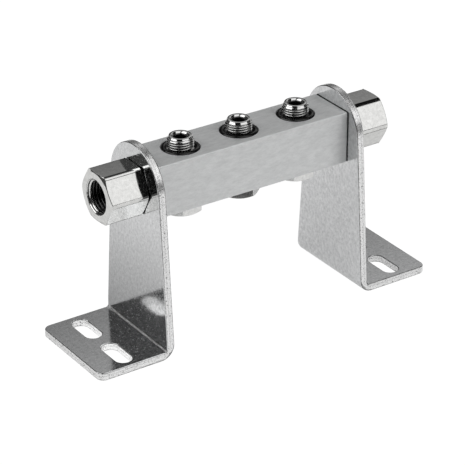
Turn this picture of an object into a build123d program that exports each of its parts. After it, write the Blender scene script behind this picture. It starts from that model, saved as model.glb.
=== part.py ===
import os
from math import pi, radians, sqrt, tan

from build123d import *

# Valve mounting strip. All sizes are in millimetres and degrees.
# X runs along the rail, the front faces -Y and Z points up. The origin lies midway between the two
# feet, on the plane of their undersides.

# Rail: a square bar with an air channel along it. It ends a fixed distance beyond the outer bolts
rail_side = 20.0
rail_end_beyond_bolt = 16.3
axis_height = 60.5
channel_diameter = 11.8
rail_edge_chamfer = 0.4

# Pipe threads, modelled as plain walls: outside threads at their major diameter, the open ports at
# their minor diameter
port_thread_major = 13.157
port_thread_minor = 11.445
bolt_thread_major = 9.728

# Hollow bolts that stand in the rail, one under each valve
bolt_names = ("left", "middle", "right")
bolt_spacing = 24.7
bolt_turns = (1.4, 36.6, -5.7)
bolt_tip_height = 4.7
bolt_tip_face_diameter = 8.0
bolt_tip_cone_length = 1.5
bolt_head_across_flats = 14.0
bolt_head_height = 4.2
bolt_head_cone_angle = 30.0
bolt_waist_diameter = 7.2
bolt_waist_cone = 0.9
bolt_relief_diameter = 8.4
bolt_relief_below_face = 0.5
bolt_relief_above_face = 0.6
bolt_bore_diameter = 4.4
bolt_bore_floor = 3.2
bolt_mouth_diameter = 5.8
bolt_port_diameter = 3.2
bolt_bore_clearance = 0.27
bolt_guide_gap = 0.05

# Rubber rings. Those that a head or a bracket presses are flattened to the depth of their recess
valve_ring_cord = 2.0
valve_ring_recess_depth = 1.5
head_ring_cord = 1.5
head_ring_recess_depth = 1.2
end_ring_cord = 1.5
end_ring_recess_depth = 1.2
ring_side_gap = 0.1
ring_seat_gap = 0.02

# Brackets: folded sheet with a tapered tongue and a slotted foot. Pressing thins the sheet a little
# at the fold, so its outside is rounder than its inside
sheet_thickness = 3.0
fold_inside_radius = 1.0
fold_outside_radius = 5.4
tongue_radius = 16.0
foot_width = 40.5
foot_reach = 30.8
foot_corner_radius = 3.0
fitting_hole_clearance = 0.35
slot_width = 6.4
slot_length = 15.0
slot_offset = 18.0
slot_pitch = 20.5

# End fittings: hexagons that clamp the brackets and carry the ports
fitting_across_flats = 18.5
fitting_length = 15.6
fitting_cone_angle = 20.0
fitting_bore_diameter = 8.0
port_depth = 10.5
port_mouth_chamfer = 1.0
spigot_length = 9.0
spigot_chamfer = 0.8
spigot_thread_gap = 0.1
rail_thread_run_out = 1.0

# Hexagon ends are turned to a shallow cone that starts just inside the flats
hexagon_face_share = 0.95
drill_point_angle = 118.0

# Sizes that follow from those above
bolt_places = [(index - (len(bolt_names) - 1) / 2) * bolt_spacing for index in range(len(bolt_names))]
rail_length = bolt_places[-1] - bolt_places[0] + 2 * rail_end_beyond_bolt
wall_over_channel = (rail_side - channel_diameter) / 2
bolt_bore_in_rail = bolt_thread_major + bolt_bore_clearance
valve_recess_diameter = bolt_bore_in_rail + 2 * valve_ring_cord + 2 * ring_side_gap
spigot_reach = sheet_thickness + spigot_length
tapped_bore_in_rail = port_thread_major + spigot_thread_gap


def turned(points):
    """A solid of revolution about Z from (radius, height) points."""
    outline = make_face(Polyline([(radius, 0, height) for radius, height in points], close=True))
    return revolve(outline, Axis.Z)


def hexagon_bar(across_flats, length, cone_angle, both_ends):
    """A hexagon that stands on Z = 0, coned at its lower end or at both."""
    corner = across_flats / sqrt(3)
    face = hexagon_face_share * across_flats / 2
    drop = (corner - face) * tan(radians(cone_angle))
    far_end = [(corner, length - drop), (face, length)] if both_ends else [(corner, length)]
    prism = extrude(RegularPolygon(corner, 6), length)
    return prism & turned([(0, 0), (face, 0), (corner, drop), *far_end, (0, length)])


def drill(diameter, depth):
    """A drilled hole that opens at Z = 0 and runs down, with a pointed floor."""
    radius = diameter / 2
    point = radius / tan(radians(drill_point_angle / 2))
    return turned([(0, 0), (radius, 0), (radius, -depth), (0, -depth - point)])


def free_ring(inside_diameter, cord):
    """A round rubber ring that lies on Z = 0."""
    return Pos(0, 0, cord / 2) * Torus((inside_diameter + cord) / 2, cord / 2)


def pressed_ring(inside_diameter, cord, height):
    """A rubber ring flattened to a height, which swells outwards and keeps its section's area."""
    width = height + pi * (cord**2 - height**2) / (4 * height)
    middle = inside_diameter / 2 + width / 2
    section = Pos(middle, height / 2) * SlotOverall(width, height)
    return revolve(Plane.XZ * section, Axis.Z)


def pressed_recess_diameter(inside_diameter, cord, height):
    """The recess that a pressed ring fills."""
    width = height + pi * (cord**2 - height**2) / (4 * height)
    return inside_diameter + 2 * width + 2 * ring_side_gap


head_recess_diameter = pressed_recess_diameter(bolt_bore_in_rail, head_ring_cord, head_ring_recess_depth)
end_recess_diameter = pressed_recess_diameter(tapped_bore_in_rail, end_ring_cord, end_ring_recess_depth)

# The end stations: Z points out of the rail, and Z = 0 is the rail's end face
end_stations = {
    "left": Plane((-rail_length / 2, 0, axis_height), x_dir=(0, -1, 0), z_dir=(-1, 0, 0)),
    "right": Plane((rail_length / 2, 0, axis_height), x_dir=(0, 1, 0), z_dir=(1, 0, 0)),
}
top_face = axis_height + rail_side / 2
bottom_face = axis_height - rail_side / 2


def rail():
    """The bar with its channel, tapped ends, bolt bores and ring recesses."""
    bar = Pos(0, 0, axis_height) * Box(rail_length, rail_side, rail_side)
    bar = chamfer(bar.edges(), rail_edge_chamfer)
    bar -= Pos(0, 0, axis_height) * Rot(0, 90, 0) * Cylinder(channel_diameter / 2, rail_length)
    for station in end_stations.values():
        tapped_depth = spigot_length + rail_thread_run_out
        bar -= station * Pos(0, 0, -tapped_depth / 2) * Cylinder(tapped_bore_in_rail / 2, tapped_depth)
        recess_middle = -end_ring_recess_depth / 2
        bar -= station * Pos(0, 0, recess_middle) * Cylinder(end_recess_diameter / 2, end_ring_recess_depth)
    for place in bolt_places:
        bar -= Pos(place, 0, axis_height) * Cylinder(bolt_bore_in_rail / 2, rail_side)
        top_middle = top_face - valve_ring_recess_depth / 2
        bar -= Pos(place, 0, top_middle) * Cylinder(valve_recess_diameter / 2, valve_ring_recess_depth)
        bottom_middle = bottom_face + head_ring_recess_depth / 2
        bar -= Pos(place, 0, bottom_middle) * Cylinder(head_recess_diameter / 2, head_ring_recess_depth)
    return bar


def hollow_bolt():
    """A bolt whose head lies against Z = 0 from below, with its shank upwards."""
    guide = bolt_bore_in_rail / 2 - bolt_guide_gap
    waist = bolt_waist_diameter / 2
    thread = bolt_thread_major / 2
    waist_start = wall_over_channel
    waist_end = rail_side - wall_over_channel
    relief = bolt_relief_diameter / 2
    relief_start = rail_side - bolt_relief_below_face
    relief_end = rail_side + bolt_relief_above_face
    tip = rail_side + bolt_tip_height
    shank = turned(
        [
            (0, 0),
            (guide, 0),
            (guide, waist_start),
            (waist, waist_start + bolt_waist_cone),
            (waist, waist_end - bolt_waist_cone),
            (guide, waist_end),
            (guide, relief_start),
            (relief, relief_start),
            (relief, relief_end),
            (thread, relief_end),
            (thread, tip - bolt_tip_cone_length),
            (bolt_tip_face_diameter / 2, tip),
            (0, tip),
        ]
    )
    head = hexagon_bar(bolt_head_across_flats, bolt_head_height, bolt_head_cone_angle, False)
    bolt = shank + Pos(0, 0, -bolt_head_height) * head
    bolt -= Pos(0, 0, tip) * drill(bolt_bore_diameter, tip - bolt_bore_floor - wall_over_channel)
    mouth_depth = (bolt_mouth_diameter - bolt_bore_diameter) / 2
    mouth_middle = tip - mouth_depth / 2
    bolt -= Pos(0, 0, mouth_middle) * Cone(bolt_bore_diameter / 2, bolt_mouth_diameter / 2, mouth_depth)
    for turn in (0, 90):
        cross_port = Cylinder(bolt_port_diameter / 2, bolt_waist_diameter + 2 * bolt_waist_cone)
        bolt -= Pos(0, 0, rail_side / 2) * Rot(90, 0, turn) * cross_port
    return bolt


def end_fitting():
    """A fitting along Z: the rail's end face is Z = 0 and the bracket lies between it and the hexagon."""
    seat = sheet_thickness
    outer_face = seat + fitting_length
    spigot_radius = port_thread_major / 2
    spigot = turned(
        [
            (0, -spigot_length),
            (spigot_radius - spigot_chamfer, -spigot_length),
            (spigot_radius, -spigot_length + spigot_chamfer),
            (spigot_radius, seat),
            (0, seat),
        ]
    )
    body = Pos(0, 0, seat) * hexagon_bar(fitting_across_flats, fitting_length, fitting_cone_angle, True)
    fitting = spigot + body
    fitting -= Pos(0, 0, outer_face) * drill(port_thread_minor, port_depth)
    fitting -= Pos(0, 0, outer_face / 2) * Cylinder(fitting_bore_diameter / 2, 2 * spigot_reach + outer_face)
    mouth_radius = port_thread_minor / 2 + port_mouth_chamfer
    mouth_middle = outer_face - port_mouth_chamfer / 2
    fitting -= Pos(0, 0, mouth_middle) * Cone(port_thread_minor / 2, mouth_radius, port_mouth_chamfer)
    return fitting


def bracket():
    """The right hand bracket: folded strip, trimmed to the tapered outline, then punched."""
    inner_face = rail_length / 2
    free_edge = inner_face + foot_reach
    top = axis_height + tongue_radius
    outer_face = inner_face + sheet_thickness
    section = make_face(
        Polyline(
            (inner_face, top),
            (inner_face, 0),
            (free_edge, 0),
            (free_edge, sheet_thickness),
            (outer_face, sheet_thickness),
            (outer_face, top),
            close=True,
        )
    )
    section = fillet(section.vertices().sort_by_distance((inner_face, 0))[0], fold_outside_radius)
    section = fillet(section.vertices().sort_by_distance((outer_face, sheet_thickness))[0], fold_inside_radius)
    folded_strip = extrude(Plane.XZ * section, foot_width / 2, both=True)
    round_top = Pos(0, axis_height) * Circle(tongue_radius)
    foot_edge = Pos(0, fold_outside_radius / 2) * Rectangle(foot_width, fold_outside_radius)
    outline = make_hull(round_top.edges() + foot_edge.edges())
    blank = folded_strip & extrude(Plane.YZ * outline, free_edge)
    blank = fillet(blank.edges().filter_by(Axis.Z).sort_by(Axis.X)[-2:], foot_corner_radius)
    hole_radius = (port_thread_major + fitting_hole_clearance) / 2
    blank -= end_stations["right"] * Cylinder(hole_radius, 3 * sheet_thickness)
    slot = extrude(SlotOverall(slot_length, slot_width, rotation=90), 2 * sheet_thickness)
    for side in (-1, 1):
        blank -= Pos(inner_face + slot_offset, side * slot_pitch / 2, -sheet_thickness / 2) * slot
    return blank


os.makedirs("parts", exist_ok=True)
nodes = {"rail": rail()}

bolt = hollow_bolt()
valve_ring = free_ring(bolt_bore_in_rail, valve_ring_cord)
head_ring = pressed_ring(bolt_bore_in_rail, head_ring_cord, head_ring_recess_depth - 2 * ring_seat_gap)
for name, place, turn in zip(bolt_names, bolt_places, bolt_turns):
    nodes[f"hollow_bolt_{name}"] = Pos(place, 0, bottom_face) * Rot(0, 0, turn) * bolt
    valve_ring_floor = top_face - valve_ring_recess_depth + ring_seat_gap
    nodes[f"valve_ring_{name}"] = Pos(place, 0, valve_ring_floor) * valve_ring
    nodes[f"head_ring_{name}"] = Pos(place, 0, bottom_face + ring_seat_gap) * head_ring

brackets = {"right": bracket()}
brackets["left"] = mirror(brackets["right"], Plane.YZ)
end_ring = pressed_ring(tapped_bore_in_rail, end_ring_cord, end_ring_recess_depth - 2 * ring_seat_gap)
for name, station in end_stations.items():
    nodes[f"bracket_{name}"] = brackets[name]
    nodes[f"end_fitting_{name}"] = station * end_fitting()
    nodes[f"end_ring_{name}"] = station * Pos(0, 0, ring_seat_gap - end_ring_recess_depth) * end_ring

for name, solid in nodes.items():
    export_step(solid, f"parts/{name}.step")
    print(name, round(solid.volume, 1), "mm3")
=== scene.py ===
from math import atan2, cos, hypot, pi, radians, sin, tan

import bmesh
import bpy
from mathutils import Matrix, Vector


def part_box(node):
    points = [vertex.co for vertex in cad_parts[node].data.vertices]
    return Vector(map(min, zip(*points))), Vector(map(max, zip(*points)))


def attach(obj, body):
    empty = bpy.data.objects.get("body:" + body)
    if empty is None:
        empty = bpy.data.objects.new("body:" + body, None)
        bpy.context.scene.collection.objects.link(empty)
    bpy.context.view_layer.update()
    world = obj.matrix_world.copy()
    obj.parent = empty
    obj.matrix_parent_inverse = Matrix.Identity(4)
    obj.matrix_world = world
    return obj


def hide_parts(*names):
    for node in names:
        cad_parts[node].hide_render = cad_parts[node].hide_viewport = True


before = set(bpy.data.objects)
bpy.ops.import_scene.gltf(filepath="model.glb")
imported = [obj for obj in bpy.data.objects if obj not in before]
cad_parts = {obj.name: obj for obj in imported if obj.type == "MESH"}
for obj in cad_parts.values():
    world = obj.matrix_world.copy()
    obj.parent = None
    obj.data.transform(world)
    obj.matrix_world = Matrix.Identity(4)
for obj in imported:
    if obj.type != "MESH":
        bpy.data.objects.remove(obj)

scene = bpy.context.scene
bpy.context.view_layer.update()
scene.view_settings.view_transform = "Standard"

mm = 0.001
slack = 0.01  # mm, for a place that is nearly the one asked for
mergeGap = 1e-7  # metres
flatAngle = 0.002  # radians
sides = ("left", "right")
stations = ("left", "middle", "right")

# camera at the photograph's angle: metres and degrees, with lens, sensor in mm
cameraView = {
    "azimuth": -34.028,
    "elevation": 27.764,
    "distance": 0.875664,
    "target": (-0.002647, 0.0, 0.029972),
    "lens": 186.68,
    "sensor": 36,
    "clip": (0.01, 50),
}


def directionOf(azimuth, elevation):
    a, e = radians(azimuth), radians(elevation)
    return Vector((sin(a) * cos(e), -cos(a) * cos(e), sin(e)))


cameraData = bpy.data.cameras.new("photoCamera")
cameraData.lens, cameraData.sensor_width = cameraView["lens"], cameraView["sensor"]
cameraData.clip_start, cameraData.clip_end = cameraView["clip"]
camera = bpy.data.objects.new("photoCamera", cameraData)
scene.collection.objects.link(camera)
target = Vector(cameraView["target"])
place = target + directionOf(cameraView["azimuth"], cameraView["elevation"]) * cameraView["distance"]
camera.location = place
camera.rotation_euler = (target - place).to_track_quat("-Z", "Y").to_euler()
scene.camera = camera
print("camera placed")


# materials: small helpers that keep each finish readable, with all lengths in metres
class Finish:
    def __init__(self, name, colour, metallic, roughness):
        self.material = bpy.data.materials.new(name)
        self.material.use_nodes = True
        self.tree = self.material.node_tree
        self.shader = self.tree.nodes["Principled BSDF"]
        self.shader.inputs["Base Color"].default_value = (*colour, 1)
        self.shader.inputs["Metallic"].default_value = metallic
        self.shader.inputs["Roughness"].default_value = roughness
        self.lastBump = None

    # a value goes to the input of its name, or else to the node's own setting
    def add(self, kind, **values):
        node = self.tree.nodes.new(kind)
        for key, value in values.items():
            if key in node.inputs:
                node.inputs[key].default_value = value
            else:
                setattr(node, key, value)
        return node

    def join(self, source, target):
        self.tree.links.new(source, target)

    def attribute(self, name):
        return self.add("ShaderNodeAttribute", attribute_name=name).outputs["Fac"]

    # noise in object coordinates, with one grain size for each axis
    def grain(self, size, detail=2.0, roughness=0.5, seed=(0, 0, 0)):
        place = self.add("ShaderNodeTexCoord")
        mapping = self.add("ShaderNodeMapping", Scale=[1 / s for s in size], Location=seed)
        noise = self.add("ShaderNodeTexNoise", Scale=1.0, Detail=detail, Roughness=roughness)
        self.join(place.outputs["Object"], mapping.inputs["Vector"])
        self.join(mapping.outputs["Vector"], noise.inputs["Vector"])
        return noise.outputs["Fac"]

    # scattered round spots: radius is a share of the spacing, core a share of the radius, and
    # leftOut and fade are the shares of spots that are missing and faint
    def dots(self, spacing, radius, leftOut, core=0.4, fade=0.1):
        place = self.add("ShaderNodeTexCoord")
        cells = self.add("ShaderNodeTexVoronoi", Scale=1 / spacing)
        self.join(place.outputs["Object"], cells.inputs["Vector"])
        spot = self.remap(cells.outputs["Distance"], radius * core, radius, 1.0, 0.0)
        kept = self.remap(cells.outputs["Color"], leftOut, leftOut + fade, 0.0, 1.0)
        return self.calculate("MULTIPLY", spot, kept)

    # sources are sockets or plain numbers
    def calculate(self, operation, *sources):
        node = self.add("ShaderNodeMath", operation=operation)
        for socket, source in zip(node.inputs, sources):
            if isinstance(source, float):
                socket.default_value = source
            else:
                self.join(source, socket)
        return node.outputs["Value"]

    def remap(self, source, lowIn, highIn, lowOut, highOut):
        node = self.add("ShaderNodeMapRange")
        ends = {"From Min": lowIn, "From Max": highIn, "To Min": lowOut, "To Max": highOut}
        for key, value in ends.items():
            node.inputs[key].default_value = value
        self.join(source, node.inputs["Value"])
        return node.outputs["Result"]

    # base colour between two tones, with any others at their own places along the way
    def vary(self, source, dark, light, lowIn=0.3, highIn=0.7, between=()):
        ramp = self.add("ShaderNodeValToRGB")
        stops = ramp.color_ramp.elements
        stops[0].position, stops[1].position = lowIn, highIn
        stops[0].color, stops[1].color = (*dark, 1), (*light, 1)
        for place, tone in between:
            stops.new(place).color = (*tone, 1)
        self.join(source, ramp.inputs["Fac"])
        self.join(ramp.outputs["Color"], self.shader.inputs["Base Color"])
        return ramp.outputs["Color"]

    def darken(self, colour, factor):
        node = self.add("ShaderNodeVectorMath", operation="MULTIPLY")
        self.join(colour, node.inputs[0])
        self.join(factor, node.inputs[1])
        self.join(node.outputs["Vector"], self.shader.inputs["Base Color"])

    def roughen(self, source, low, high, lowIn=0.3, highIn=0.7):
        self.join(self.remap(source, lowIn, highIn, low, high), self.shader.inputs["Roughness"])

    # bumps stack, each with its own depth
    def bump(self, source, depth):
        node = self.add("ShaderNodeBump", Strength=1.0, Distance=depth)
        self.join(source, node.inputs["Height"])
        if self.lastBump is not None:
            self.join(self.lastBump, node.inputs["Normal"])
        self.lastBump = node.outputs["Normal"]
        self.join(self.lastBump, self.shader.inputs["Normal"])


def grey(shade):
    return (shade, shade, shade)


def drawnAluminium():
    finish = Finish("drawnAluminium", colour=(0.73, 0.74, 0.74), metallic=0.5, roughness=0.42)
    lines = finish.grain((0.030, 0.00025, 0.00025), detail=3)
    cloud = finish.grain((0.004, 0.0015, 0.0015), detail=6, roughness=0.8, seed=(3, 1, 2))
    finish.vary(cloud, dark=(0.71, 0.72, 0.72), light=(0.86, 0.87, 0.87), lowIn=0.35, highIn=0.65)
    finish.roughen(lines, low=0.40, high=0.50)
    finish.bump(lines, depth=9e-6)
    return finish.material


def boredAluminium():
    finish = Finish("boredAluminium", colour=(0.55, 0.56, 0.57), metallic=1.0, roughness=0.32)
    marks = finish.grain((0.00025, 0.00025, 0.00012), detail=2)
    finish.roughen(marks, low=0.28, high=0.42)
    finish.bump(marks, depth=4e-6)
    return finish.material


# bright plating with a mottled tone and small dull spots
def brightZinc():
    finish = Finish("brightZinc", colour=(0.77, 0.775, 0.78), metallic=1.0, roughness=0.12)
    cloud = finish.grain((0.0011, 0.0011, 0.0014), detail=6, roughness=0.8)
    speck = finish.grain((0.0009, 0.0009, 0.0009), detail=3, roughness=0.6, seed=(5, 2, 8))
    wave = finish.grain((0.012, 0.012, 0.012), detail=2, seed=(1, 7, 4))
    finish.vary(cloud, dark=(0.58, 0.585, 0.59), light=(0.94, 0.945, 0.95), lowIn=0.32, highIn=0.68)
    spotDullness = 0.32
    spots = finish.dots(spacing=0.00065, radius=0.3, leftOut=0.62)
    sheen = finish.remap(speck, lowIn=0.3, highIn=0.7, lowOut=0.06, highOut=0.2)
    roughness = finish.calculate("MULTIPLY_ADD", spots, spotDullness, sheen)
    finish.join(roughness, finish.shader.inputs["Roughness"])
    finish.bump(wave, depth=9e-6)
    finish.bump(speck, depth=5e-6)
    return finish.material


# inside the fold the plating is stretched and dull
def foldedZinc():
    finish = Finish("foldedZinc", colour=grey(0.3), metallic=1.0, roughness=0.35)
    cracks = finish.grain((0.0003, 0.0008, 0.0003), detail=3, seed=(1, 6, 2))
    finish.vary(cracks, dark=grey(0.25), light=grey(0.85))
    finish.roughen(cracks, low=0.25, high=0.5)
    finish.bump(cracks, depth=1e-5)
    return finish.material


# a punched edge: cut smooth from one face of the sheet, then torn, with a line between the two;
# the attribute sheetDepth is 0 at the first face and 1 at the other
def shearedZinc():
    finish = Finish("shearedZinc", colour=grey(0.8), metallic=0.75, roughness=0.3)
    tearShare = 0.2
    fromFace = finish.attribute("sheetDepth")
    depth = finish.remap(fromFace, lowIn=0.0, highIn=1.0, lowOut=0.0, highOut=1.0 - tearShare)
    tear = finish.grain((0.0005, 0.0005, 0.0005), detail=4, roughness=0.7)
    ragged = finish.calculate("MULTIPLY_ADD", tear, tearShare, depth)
    bands = ((0.22, 1.0), (0.5, 1.0), (0.56, 0.7), (0.62, 0.98), (0.81, 0.98))
    # near-black at both borders, where the cut edge meets the faces: part burr, part painted shade of
    # the roll-over and the floor contact
    tone = finish.vary(
        ragged,
        dark=grey(0.05),
        light=grey(0.08),
        lowIn=0.14,
        highIn=0.92,
        between=[(place, grey(shade)) for place, shade in bands],
    )
    fleck = finish.grain((0.0004, 0.0004, 0.0004), detail=1, seed=(7, 1, 3))
    finish.darken(tone, finish.remap(fleck, lowIn=0.3, highIn=0.38, lowOut=0.1, highOut=1.0))
    finish.roughen(tear, low=0.16, high=0.34)
    finish.bump(tear, depth=3.5e-5)
    return finish.material


# the attribute threadGroove is 1 at the root of a thread, where the base colour is darkened as painted
# shade
def brightNickel(name, colour):
    finish = Finish(name, colour, metallic=1.0, roughness=0.08)
    cloud = finish.grain((0.0014, 0.0014, 0.0014), detail=6, roughness=0.8, seed=(2, 9, 1))
    marks = finish.grain((0.00015, 0.0012, 0.0012), detail=2, seed=(4, 4, 4))
    tone = finish.vary(cloud, dark=[c * 0.8 for c in colour], light=[c * 1.12 for c in colour])
    groove = finish.attribute("threadGroove")
    finish.darken(tone, finish.remap(groove, lowIn=0.25, highIn=0.85, lowOut=1.0, highOut=0.12))
    finish.roughen(cloud, low=0.06, high=0.12)
    finish.bump(marks, depth=1.2e-6)
    return finish.material


# inside walls of the ports and bores, painted near-black as shade, and the rail's dark joint line on its
# end chamfers
def darkJointAndPaintedShade():
    finish = Finish("darkJointAndPaintedShade", colour=grey(0.1), metallic=1.0, roughness=0.3)
    marks = finish.grain((0.0004, 0.0004, 0.0004), detail=3, seed=(6, 3, 1))
    finish.vary(marks, dark=grey(0.07), light=grey(0.14))
    finish.roughen(marks, low=0.22, high=0.4)
    finish.bump(marks, depth=3e-6)
    return finish.material


def blackRubber():
    finish = Finish("blackRubber", colour=grey(0.004), metallic=0.0, roughness=0.16)
    skin = finish.grain((0.0004, 0.0004, 0.0004), detail=3)
    finish.vary(skin, dark=grey(0.003), light=grey(0.008))
    finish.roughen(skin, low=0.12, high=0.22)
    finish.bump(skin, depth=2e-6)
    return finish.material


finishes = {
    "rail": drawnAluminium(),
    "bore": boredAluminium(),
    "sheet": brightZinc(),
    "fold": foldedZinc(),
    "sheared": shearedZinc(),
    "fitting": brightNickel("fittingNickel", (0.84, 0.84, 0.825)),
    "bolt": brightNickel("boltNickel", (0.86, 0.86, 0.85)),
    # cut: painted shade in the ports and bores, and the rail's dark joint
    "cut": darkJointAndPaintedShade(),
    "rubber": blackRubber(),
}
print("finishes made")


# shared modelling steps
def readNode(name):
    bm = bmesh.new()
    bm.from_mesh(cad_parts[name].data)
    bmesh.ops.remove_doubles(bm, verts=bm.verts, dist=mergeGap)
    bmesh.ops.dissolve_limit(bm, angle_limit=flatAngle, verts=bm.verts, edges=bm.edges)
    return bm


# distance from the Z axis, in mm
def radiusOf(co):
    return hypot(co.x, co.y) / mm


def setRadius(vert, radius, wanted):
    vert.co.x *= wanted / radius
    vert.co.y *= wanted / radius


# (radius, height) points round Z, in mm; the outline is closed unless told otherwise
def startOutline(points, closed=True):
    bm = bmesh.new()
    verts = [bm.verts.new((radius * mm, 0, height * mm)) for radius, height in points]
    pairs = list(zip(verts, verts[1:])) + ([(verts[-1], verts[0])] if closed else [])
    for pair in pairs:
        bm.edges.new(pair)
    return bm


# the outline's edge between two of its points, cut into equal rows
def splitEdge(bm, start, end, rows):
    ends = [Vector((radius * mm, 0, height * mm)) for radius, height in (start, end)]

    def isEnd(vert):
        return min((vert.co - point).length for point in ends) < slack * mm

    edges = [edge for edge in bm.edges if all(isEnd(vert) for vert in edge.verts)]
    bmesh.ops.subdivide_edges(bm, edges=edges, cuts=rows - 1)


def spinOutline(bm, steps):
    bmesh.ops.spin(
        bm,
        geom=bm.verts[:] + bm.edges[:],
        cent=(0, 0, 0),
        axis=(0, 0, 1),
        angle=2 * pi,
        steps=steps,
        use_merge=True,
    )
    bmesh.ops.remove_doubles(bm, verts=bm.verts, dist=mergeGap)
    bmesh.ops.recalc_face_normals(bm, faces=bm.faces)


def rowsOver(height, look):
    return round(height / look["pitch"] * look["rowsPerPitch"])


# a V that winds round Z, flat for a sixth of the pitch at crest and root;
# the answer is the depth below the crest
def threadDepth(point, pitch, depth, start=0.0, slope=1.5, flat=0.25):
    turn = atan2(point.y, point.x) / (2 * pi)
    phase = (point.z / mm / pitch - turn + start) % 1
    flank = abs(2 * phase - 1) * slope - flat
    return depth * (1 - min(max(flank, 0.0), 1.0))


# edges sharper than the limit get a bevel weight, the full one or what share says, but not
# where keepOff is true of both ends
def weighEdges(bm, limit, keepOff=None, share=None):
    weights = bm.edges.layers.float.new("bevel_weight_edge")
    for face in bm.faces:
        face.smooth = True
    for edge in bm.edges:
        sharp = edge.is_manifold and edge.calc_face_angle() > radians(limit)
        if sharp and not (keepOff and all(keepOff(v.co) for v in edge.verts)):
            edge[weights] = share(edge) if share else 1.0


def makePiece(name, bm, materials, nodes, edgeWidth=None, edgeSegments=2):
    mesh = bpy.data.meshes.new(name)
    bm.to_mesh(mesh)
    bm.free()
    piece = bpy.data.objects.new(name, mesh)
    scene.collection.objects.link(piece)
    for key in materials:
        mesh.materials.append(finishes[key])
    if edgeWidth:
        bevel = piece.modifiers.new("softEdges", "BEVEL")
        bevel.limit_method = "WEIGHT"
        bevel.width = edgeWidth * mm
        bevel.segments = edgeSegments
        bevel.use_clamp_overlap = False
        shading = piece.modifiers.new("evenShading", "WEIGHTED_NORMAL")
        shading.mode = "FACE_AREA"
    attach(piece, "root")
    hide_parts(*nodes)


# rail: drawn bar, bored and recessed, all depths in mm below its box
railLook = {
    "edgeWidth": 0.1,
    "hardAngle": 30,
    "outsideDepth": 0.45,
    "chamferDepth": 0.41,
    "chamferNormal": (0.1, 0.9),
    "insideDepth": 0.6,
}


def buildRail():
    look = railLook
    bm = readNode("rail")
    low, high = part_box("rail")
    outsideDepth, chamferDepth = look["outsideDepth"] * mm, look["chamferDepth"] * mm
    flattest, steepest = look["chamferNormal"]
    for face in bm.faces:
        middle = face.calc_center_median()
        outside = (
            abs(middle.x) > high.x - outsideDepth
            or abs(middle.y) > high.y - outsideDepth
            or middle.z > high.z - outsideDepth
            or middle.z < low.z + outsideDepth
        )
        onChamfer = abs(middle.x) > high.x - chamferDepth and flattest < abs(face.normal.x) < steepest
        face.material_index = 2 if onChamfer else 0 if outside else 1

    centre, reach = (low + high) / 2, (high - low) / 2

    def inside(co):
        return all(abs(co[k] - centre[k]) < reach[k] - look["insideDepth"] * mm for k in range(3))

    weighEdges(bm, look["hardAngle"], inside)
    makePiece("railBar", bm, ["rail", "bore", "cut"], ["rail"], look["edgeWidth"])


buildRail()
print("rail built")


# brackets: folded sheet whose cut edges are rougher than its faces; a face looks along an axis
# when that part of its normal is over facing
bracketLook = {
    "sheet": 3.0,
    "edgeWidth": 0.4,
    "edgeSegments": 4,
    "hardAngle": 40,
    "foldHeight": 5.4,
    "foldInside": 1.0,
    "facing": 0.5,
    "creaseNormal": (0.4, 0.92),
}


def buildBracket(side):
    look = bracketLook
    node = f"bracket_{side}"
    bm = readNode(node)
    low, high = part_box(node)
    inner = min(abs(low.x), abs(high.x))
    foldTop = look["foldHeight"] * mm
    creaseTop = (look["sheet"] + look["foldInside"]) * mm
    creaseLow = (look["sheet"] + slack) * mm
    flattest, steepest = look["creaseNormal"]
    for face in bm.faces:
        middle = face.calc_center_median()
        across, along, up = (abs(part) > look["facing"] for part in face.normal)
        if middle.z > foldTop:
            cut = not across
        elif abs(middle.x) > inner + foldTop:
            cut = not up
        else:
            cut = along
        inCrease = creaseLow < middle.z < creaseTop and abs(middle.x) - inner < creaseTop
        onCrease = inCrease and not along and flattest < face.normal.z < steepest
        face.material_index = 1 if cut else 2 if onCrease else 0
    depth = bm.verts.layers.float.new("sheetDepth")
    farFace = (look["sheet"] - slack) * mm
    for vert in bm.verts:
        vert[depth] = 1.0 if abs(vert.co.x) - inner > farFace and vert.co.z > farFace else 0.0
    weighEdges(bm, look["hardAngle"])
    makePiece(
        "bracket" + side.capitalize(),
        bm,
        ["sheet", "sheared", "fold"],
        [node],
        look["edgeWidth"],
        look["edgeSegments"],
    )


for side in sides:
    buildBracket(side)
print("brackets built")


# end fittings: turned blank, six flats, and a pipe thread cut into the port;
# heights in mm from the rail's end face, but the painted-shade band and depth in the port from the outer
# face inwards
fittingLook = {
    "acrossFlats": 18.5,
    "faceShare": 0.95,
    "seat": 3.0,
    "outerFace": 18.6,
    "coneAngle": 20,
    "spigotEnd": -9.0,
    "spigotRadius": 6.5785,
    "spigotChamfer": 0.8,
    "boreRadius": 4.0,
    "boreMargin": 0.3,
    "minorRadius": 5.7225,
    "majorRadius": 6.5785,
    "mouthChamfer": 1.0,
    "smoothMouth": 0.6,
    "mouthSlope": 3,
    "shadeBand": (0.42, 0.8),
    "shadedFrom": 2.0,
    "portFloor": 8.1,
    "pointAngle": 118,
    "pitch": 1.337,
    "rowsPerPitch": 16,
    "steps": 96,
    "edgeWidth": 1.0,
    "edgeSegments": 3,
    "hardAngle": 15,
    "flatLength": 5,
    "coneEdgeShare": 0.2,
}


# six flats, with each coned end lowered to where the milled corner meets it
def millHexagon(bm, look, faceRadius, cornerDrop):
    for vert in bm.verts:
        radius, height = radiusOf(vert.co), vert.co.z / mm
        if radius <= faceRadius + slack:
            continue
        turn = atan2(vert.co.y, vert.co.x) % (pi / 3) - pi / 6
        milled = min(radius, look["acrossFlats"] / 2 / cos(turn))
        fall = (milled - faceRadius) * tan(radians(look["coneAngle"]))
        for end, sign in ((look["seat"], -1), (look["outerFace"], 1)):
            if abs(height - end) < cornerDrop + slack:
                vert.co.z = (end - sign * fall) * mm
        setRadius(vert, radius, milled)


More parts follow.
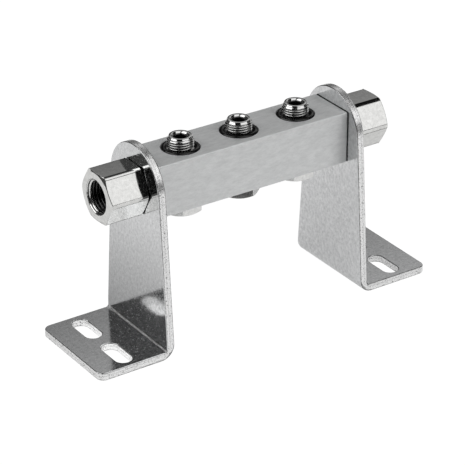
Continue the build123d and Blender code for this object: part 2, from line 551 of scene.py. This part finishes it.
# thread turns that run out at the port's floor, and before its smooth mouth
def cutPort(bm, look, mouthRadius, inPort):
    depth = look["majorRadius"] - look["minorRadius"]
    for vert in bm.verts:
        if not inPort(vert.co):
            continue
        radius, height = radiusOf(vert.co), vert.co.z / mm
        runOut = min((height - look["portFloor"]) / look["pitch"], 1.0)
        cut = look["minorRadius"] + runOut * (depth - threadDepth(vert.co, look["pitch"], depth))
        fromFace = look["outerFace"] - height
        pastMouth = look["mouthSlope"] * max(fromFace - look["smoothMouth"], 0)
        cut = min(cut, mouthRadius - fromFace + pastMouth)
        setRadius(vert, radius, max(cut, radius))


# painted shade: a band by the port's first groove and the port's depth, the bore, and the cone that
# faces the seat take the near-black finish
def paintFitting(bm, look, mouthRadius, cornerDrop):
    shadeBandTop, shadeBandLow = look["shadeBand"]
    for face in bm.faces:
        middle = face.calc_center_median()
        radius, height = radiusOf(middle), middle.z / mm
        fromFace, fromSeat = look["outerFace"] - height, height - look["seat"]
        paintedDark = shadeBandTop < fromFace < shadeBandLow or fromFace > look["shadedFrom"]
        inPortWall = radius < mouthRadius and height > 0 and paintedDark
        besideBore = radius < look["boreRadius"] + look["boreMargin"]
        inBore = besideBore and look["spigotEnd"] + slack < height <= 0
        onCone = radius > look["spigotRadius"] and slack < fromSeat < cornerDrop
        facesSeat = onCone and face.normal.z < 0
        face.material_index = 1 if inPortWall or inBore or facesSeat else 0


def buildFitting(side):
    look = fittingLook
    cornerRadius = look["acrossFlats"] / 2 / cos(pi / 6)
    faceRadius = look["faceShare"] * look["acrossFlats"] / 2
    cornerDrop = (cornerRadius - faceRadius) * tan(radians(look["coneAngle"]))
    drillPoint = (look["minorRadius"] - look["boreRadius"]) / tan(radians(look["pointAngle"] / 2))
    mouthRadius = look["minorRadius"] + look["mouthChamfer"]
    wallTop = look["outerFace"] - look["mouthChamfer"]
    bm = startOutline(
        [
            (look["boreRadius"], look["spigotEnd"]),
            (look["spigotRadius"] - look["spigotChamfer"], look["spigotEnd"]),
            (look["spigotRadius"], look["spigotEnd"] + look["spigotChamfer"]),
            (look["spigotRadius"], look["seat"]),
            (faceRadius, look["seat"]),
            (cornerRadius, look["seat"] + cornerDrop),
            (cornerRadius, look["outerFace"] - cornerDrop),
            (faceRadius, look["outerFace"]),
            (mouthRadius, look["outerFace"]),
            (look["minorRadius"], wallTop),
            (look["minorRadius"], look["portFloor"]),
            (look["boreRadius"], look["portFloor"] - drillPoint),
        ]
    )
    wallEnds = (look["minorRadius"], wallTop), (look["minorRadius"], look["portFloor"])
    coneEnds = (mouthRadius, look["outerFace"]), (look["minorRadius"], wallTop)
    splitEdge(bm, *wallEnds, rowsOver(wallTop - look["portFloor"], look))
    splitEdge(bm, *coneEnds, rowsOver(look["mouthChamfer"], look) + 1)
    spinOutline(bm, look["steps"])
    millHexagon(bm, look, faceRadius, cornerDrop)

    def inPort(co):
        inDepth = look["portFloor"] - slack < co.z / mm < look["outerFace"] - slack
        return inDepth and radiusOf(co) < mouthRadius - 2 * slack

    def edgeShare(edge):
        rise = abs(edge.verts[0].co.z - edge.verts[1].co.z) / mm
        return 1.0 if rise > look["flatLength"] else look["coneEdgeShare"]

    cutPort(bm, look, mouthRadius, inPort)
    flatVerts = [vert for vert in bm.verts if not inPort(vert.co)]
    flatEdges = [edge for edge in bm.edges if not any(inPort(vert.co) for vert in edge.verts)]
    bmesh.ops.dissolve_limit(bm, angle_limit=flatAngle, verts=flatVerts, edges=flatEdges)
    paintFitting(bm, look, mouthRadius, cornerDrop)
    weighEdges(bm, look["hardAngle"], inPort, edgeShare)

    sign = -1 if side == "left" else 1
    low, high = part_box("rail")
    axisHeight = (low.z + high.z) / 2
    station = Matrix(((0, 0, sign, sign * high.x), (sign, 0, 0, 0), (0, 1, 0, axisHeight), (0, 0, 0, 1)))
    bmesh.ops.transform(bm, matrix=station, verts=bm.verts)
    makePiece(
        "endFitting" + side.capitalize(),
        bm,
        ["fitting", "cut"],
        [f"end_fitting_{side}"],
        look["edgeWidth"],
        look["edgeSegments"],
    )


for side in sides:
    buildFitting(side)
print("end fittings built")


# hollow bolts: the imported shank, with a threaded tip turned on above the rail;
# heights in mm above the floor
boltLook = {
    "hiddenShank": (51.25, 69.95),
    "join": 70.25,
    "joinGap": 0.05,
    "reliefRadius": 4.2,
    "reliefTop": 71.1,
    "threadRadius": 4.864,
    "rootRadius": 4.283,
    "rootMargin": 0.05,
    "coneStart": 73.7,
    "tipRadius": 4.0,
    "tip": 75.2,
    "mouthRadius": 3.05,
    "shadeEdgeRadius": 2.5,
    "boreRadius": 2.2,
    "pitch": 0.907,
    "rowsPerPitch": 16,
    "threadStart": {"left": 0.1, "middle": 0.45, "right": 0.8},
    "steps": 96,
    "edgeWidth": 0.12,
    "edgeSegments": 2,
    "hardAngle": 25,
    "ringMargin": 0.1,
}


# the threaded tip, open at its base where it meets the shank
def turnTip(look, start, onThread):
    tipBase = look["join"] + look["joinGap"]
    coneFoot = look["tip"] - look["mouthRadius"]
    tip = startOutline(
        [
            (look["boreRadius"], tipBase),
            (look["boreRadius"], coneFoot + look["boreRadius"]),
            (look["shadeEdgeRadius"], coneFoot + look["shadeEdgeRadius"]),
            (look["mouthRadius"], look["tip"]),
            (look["tipRadius"], look["tip"]),
            (look["threadRadius"], look["coneStart"]),
            (look["threadRadius"], look["reliefTop"]),
            (look["reliefRadius"], look["reliefTop"]),
            (look["reliefRadius"], tipBase),
        ],
        closed=False,
    )
    shoulder = (look["threadRadius"], look["coneStart"])
    foot, top = (look["threadRadius"], look["reliefTop"]), (look["tipRadius"], look["tip"])
    splitEdge(tip, foot, shoulder, rowsOver(look["coneStart"] - look["reliefTop"], look))
    splitEdge(tip, shoulder, top, rowsOver(look["tip"] - look["coneStart"], look))
    spinOutline(tip, look["steps"])
    groove = tip.verts.layers.float.new("threadGroove")
    depth = look["threadRadius"] - look["rootRadius"]
    for vert in tip.verts:
        if not onThread(vert.co):
            continue
        radius = radiusOf(vert.co)
        cut = look["threadRadius"] - threadDepth(vert.co, look["pitch"], depth, start)
        vert[groove] = max(radius - cut, 0.0) / depth
        setRadius(vert, radius, min(cut, radius))
    return tip


def buildBolt(name):
    look = boltLook
    node = f"hollow_bolt_{name}"
    bm = readNode(node)
    low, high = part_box(node)
    middle = (low + high) / 2
    bmesh.ops.translate(bm, vec=(-middle.x, -middle.y, 0), verts=bm.verts)
    bmesh.ops.bisect_plane(
        bm,
        geom=bm.verts[:] + bm.edges[:] + bm.faces[:],
        plane_co=(0, 0, look["join"] * mm),
        plane_no=(0, 0, 1),
        clear_outer=True,
    )

    def onThread(co):
        beyondRoot = radiusOf(co) > look["rootRadius"] - look["rootMargin"]
        return beyondRoot and co.z / mm > look["reliefTop"] - slack

    def keepsItsEdge(co):
        return onThread(co) or look["hiddenShank"][0] < co.z / mm < look["hiddenShank"][1]

    def openRing(height, radius):
        def near(co):
            return abs(co.z / mm - height) < slack and abs(radiusOf(co) - radius) < look["ringMargin"]

        return [edge for edge in bm.edges if edge.is_boundary and all(near(v.co) for v in edge.verts)]

    tip = turnTip(look, look["threadStart"][name], onThread)
    tipMesh = bpy.data.meshes.new("tip")
    tip.to_mesh(tipMesh)
    tip.free()
    bm.from_mesh(tipMesh)
    bpy.data.meshes.remove(tipMesh)
    for radius in (look["boreRadius"], look["reliefRadius"]):
        rings = openRing(look["join"], radius) + openRing(look["join"] + look["joinGap"], radius)
        bmesh.ops.bridge_loops(bm, edges=rings)
    bmesh.ops.recalc_face_normals(bm, faces=bm.faces)
    # painted shade: the bore and the inner part of its mouth cone take the near-black finish
    shadeLimit = (look["boreRadius"] + look["shadeEdgeRadius"]) / 2 + 2 * slack
    for face in bm.faces:
        face.material_index = 1 if radiusOf(face.calc_center_median()) < shadeLimit else 0
    weighEdges(bm, look["hardAngle"], keepsItsEdge)
    bmesh.ops.translate(bm, vec=(middle.x, middle.y, 0), verts=bm.verts)
    makePiece(
        "hollowBolt" + name.capitalize(),
        bm,
        ["bolt", "cut"],
        [node],
        look["edgeWidth"],
        look["edgeSegments"],
    )


for name in stations:
    buildBolt(name)
print("hollow bolts built")


# rubber rings: a round cord under each valve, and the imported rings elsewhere, pressed flat
ringLook = {"steps": 96, "section": 28}


def buildRing(name):
    node = f"valve_ring_{name}"
    low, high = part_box(node)
    middle = (low + high) / 2
    cord = (high.z - low.z) / 2
    centre = (high.x - low.x) / 2 - cord
    upright = Matrix.Translation((centre, 0, middle.z)) @ Matrix.Rotation(pi / 2, 4, "X")
    bm = bmesh.new()
    bmesh.ops.create_circle(bm, segments=ringLook["section"], radius=cord, matrix=upright)
    spinOutline(bm, ringLook["steps"])
    for face in bm.faces:
        face.smooth = True
    bmesh.ops.translate(bm, vec=(middle.x, middle.y, 0), verts=bm.verts)
    makePiece("valveRing" + name.capitalize(), bm, ["rubber"], [node])


for name in stations:
    buildRing(name)
for node in [f"head_ring_{name}" for name in stations] + [f"end_ring_{side}" for side in sides]:
    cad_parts[node].material_slots[0].material = finishes["rubber"]
print("rings built")


# floor and soft studio light, in metres but for drops and centreHeight in mm; cards and boxes
# stand towards a direction seen from the part, so far away, their long side along the given line
studio = {
    "floorRadius": 3.5,
    "floorDrop": 0.1,
    "floorSteps": 96,
    "floorGrey": 0.2,
    "floorGlow": 0.95,
    "coveHeight": 0.75,
    "coveSpread": 1.1,
    "coveAngle": 0.5,
    "coveRadius": 0.5,
    "coveSegments": 8,
    "coveProfile": 0.5,
    "tableRadius": 0.8,
    "tableGrey": 0.58,
    "tableGlow": 0.37,
    "roomLight": 0.053,
    "centreHeight": 40,
    "paintRoughness": 0.9,
    "sheetDrop": 0.05,
    "sheets": {
        # a dark sheet in front is painted shade, and the glowing patch under the left foot's slots is
        # painted light
        "cloth": {"size": (0.44, 0.5), "place": (-0.235, -0.34), "grey": 0.12, "glow": 0.0},
        "leftShade": {
            "size": (0.055, 0.08),
            "place": (-0.0725, 0.0605),
            "grey": 0.33,
            "glow": 0.4,
            "slope": (-7.5, 0, 0),
        },
        "leftSlotGlow": {"size": (0.026, 0.034), "place": (-0.059, 0), "grey": 0.8, "glow": 0.58},
    },
    "cardGrey": 0.02,
    "cards": {
        "greyWall": {
            "towards": (0.495, 0.733, 0.466),
            "away": 1.9,
            "along": (-0.829, 0.559, 0),
            "size": (2.6, 1.1),
            "glow": 0.29,
            "slope": (-0.65, 1.6, 0),
        },
        "darkWall": {
            "towards": (-0.495, -0.733, 0.44),
            "away": 2.2,
            "along": (0.83, -0.56, 0),
            "size": (2.4, 1.5),
            "glow": 0.0,
        },
        "darkFlag": {
            "towards": (0.673, -0.037, 0.739),
            "away": 1.36,
            "along": (0, 1, 0),
            "size": (1.15, 0.6),
            "glow": 0.0,
        },
    },
    "boxes": {
        "rightBox": {
            "towards": (0.327, -0.508, 0.797),
            "away": 1.4,
            "along": (0, -0.845, -0.535),
            "size": (1.64, 1.7),
            "light": 0.9,
        },
        "leftBox": {
            "towards": (-0.68, 0.22, 0.70),
            "away": 1.4,
            "along": (0, 0.954, -0.3),
            "size": (1.4, 1.06),
            "light": 1.6,
        },
        "floorFill": {
            "towards": (0.5, -0.5, 0.7),
            "away": 2.0,
            "along": (1, 1, 0),
            "size": (1.1, 1.1),
            "light": 3.5,
            "hidden": True,
        },
    },
}
partCentre = Vector((0, 0, studio["centreHeight"] * mm))


# the glow may rise across a card, by so much for each metre of its own width and height
def plainMaterial(name, shade, glow=0.0, slope=None):
    finish = Finish(name, grey(shade), metallic=0.0, roughness=studio["paintRoughness"])
    finish.shader.inputs["Specular IOR Level"].default_value = 0.0
    finish.shader.inputs["Emission Color"].default_value = (1, 1, 1, 1)
    finish.shader.inputs["Emission Strength"].default_value = glow
    if slope:
        place = finish.add("ShaderNodeTexCoord")
        rise = finish.add("ShaderNodeVectorMath", operation="DOT_PRODUCT")
        rise.inputs[1].default_value = slope
        finish.join(place.outputs["Object"], rise.inputs[0])
        level = finish.remap(rise.outputs["Value"], -glow, glow, 0.0, 2 * glow)
        finish.join(level, finish.shader.inputs["Emission Strength"])
    return finish.material


# faces the part, with its long side along the given line
def facePart(obj, stand):
    back = Vector(stand["towards"]).normalized()
    along = Vector(stand["along"])
    along = (along - back * along.dot(back)).normalized()
    turn = Matrix((along, back.cross(along), back)).transposed().to_4x4()
    obj.matrix_world = Matrix.Translation(partCentre + back * stand["away"]) @ turn


def startDisc(radius):
    bm = bmesh.new()
    drop = Matrix.Translation((0, 0, -studio["floorDrop"] * mm))
    bmesh.ops.create_circle(bm, cap_ends=True, segments=studio["floorSteps"], radius=radius, matrix=drop)
    return bm


def startOblong(size):
    bm = bmesh.new()
    bmesh.ops.create_grid(bm, x_segments=1, y_segments=1, size=0.5)
    bmesh.ops.scale(bm, vec=(*size, 1), verts=bm.verts)
    return bm


def buildStage(name, bm, material):
    mesh = bpy.data.meshes.new(name)
    bm.to_mesh(mesh)
    bm.free()
    mesh.materials.append(material)
    obj = bpy.data.objects.new(name, mesh)
    scene.collection.objects.link(obj)
    return obj


# a round white floor whose rim curves up, so that no edge of it shows from any side
bm = startDisc(studio["floorRadius"])
rim = bmesh.ops.extrude_edge_only(bm, edges=[edge for edge in bm.edges if edge.is_boundary])
raised = [vert for vert in rim["geom"] if isinstance(vert, bmesh.types.BMVert)]
bmesh.ops.translate(bm, vec=(0, 0, studio["coveHeight"]), verts=raised)
bmesh.ops.scale(bm, vec=(studio["coveSpread"], studio["coveSpread"], 1), verts=raised)
inner = [edge for edge in bm.edges if not edge.is_boundary]
bends = [edge for edge in inner if edge.calc_face_angle() > studio["coveAngle"]]
bmesh.ops.bevel(
    bm,
    geom=bends,
    offset=studio["coveRadius"],
    segments=studio["coveSegments"],
    profile=studio["coveProfile"],
    affect="EDGES",
    material=-1,
)
for face in bm.faces:
    face.smooth = True
floor = buildStage("floor", bm, plainMaterial("floorWhite", studio["floorGrey"], studio["floorGlow"]))
floor.visible_glossy = floor.visible_diffuse = floor.visible_shadow = False

# what the metal mirrors is a smaller grey table
bm = startDisc(studio["tableRadius"])
table = buildStage("table", bm, plainMaterial("tablePaint", studio["tableGrey"], studio["tableGlow"]))
table.visible_camera = False

# on the table, seen only as reflections: a dark sheet in front as painted shade, shade behind the left
# foot, and a glowing patch under its slots as painted light where the table lies in shadow
for name, look in studio["sheets"].items():
    paint = plainMaterial(name + "Paint", look["grey"], look["glow"], look.get("slope"))
    sheet = buildStage(name, startOblong(look["size"]), paint)
    sheet.location = (*look["place"], -studio["sheetDrop"] * mm)
    sheet.visible_camera = sheet.visible_shadow = sheet.visible_diffuse = False

for name, look in studio["cards"].items():
    paint = plainMaterial(name + "Paint", studio["cardGrey"], look["glow"], look.get("slope"))
    card = buildStage(name, startOblong(look["size"]), paint)
    card.visible_camera = False
    facePart(card, look)

for name, look in studio["boxes"].items():
    width, height = look["size"]
    data = bpy.data.lights.new(name, "AREA")
    data.shape = "RECTANGLE"
    data.size, data.size_y = width, height
    data.energy = look["light"] * pi * width * height
    light = bpy.data.objects.new(name, data)
    scene.collection.objects.link(light)
    facePart(light, look)
    light.visible_glossy = not look.get("hidden", False)

world = bpy.data.worlds.new("studio")
scene.world = world
world.use_nodes = True
background = world.node_tree.nodes["Background"]
background.inputs["Color"].default_value = (1, 1, 1, 1)
background.inputs["Strength"].default_value = studio["roomLight"]
print("studio lit")
